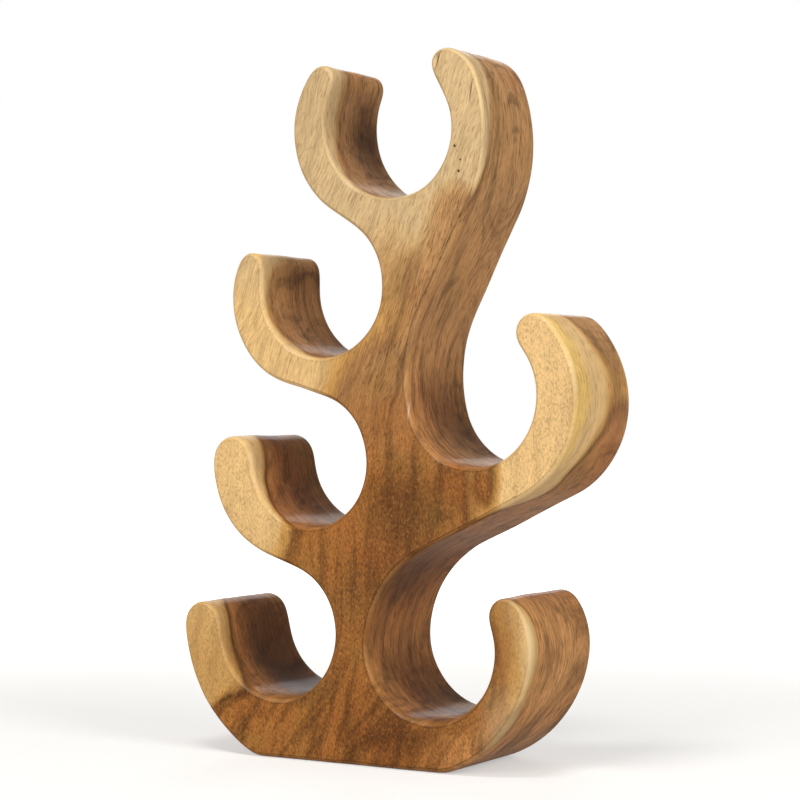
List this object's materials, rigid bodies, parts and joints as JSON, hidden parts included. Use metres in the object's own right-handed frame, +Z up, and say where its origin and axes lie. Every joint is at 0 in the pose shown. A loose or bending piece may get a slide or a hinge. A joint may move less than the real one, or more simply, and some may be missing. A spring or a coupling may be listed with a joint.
{
  "type": "wine rack",
  "caption": "Freestanding wine rack carved from one slab of wood like a small tree, with round open seats that hold bottles lying front to back.",
  "frame": {"origin": "middle of the flat foot, on the ground, half way between the faces of the slab there", "axes": "+X to the right as seen from the front, +Y to the back, +Z up"},
  "size_m": [0.2717, 0.0828, 0.4214],
  "materials": {
    "wood": "satin"
  },
  "bodies": {
    "root": {"rack": "wood"}
  },
  "joints": []
}
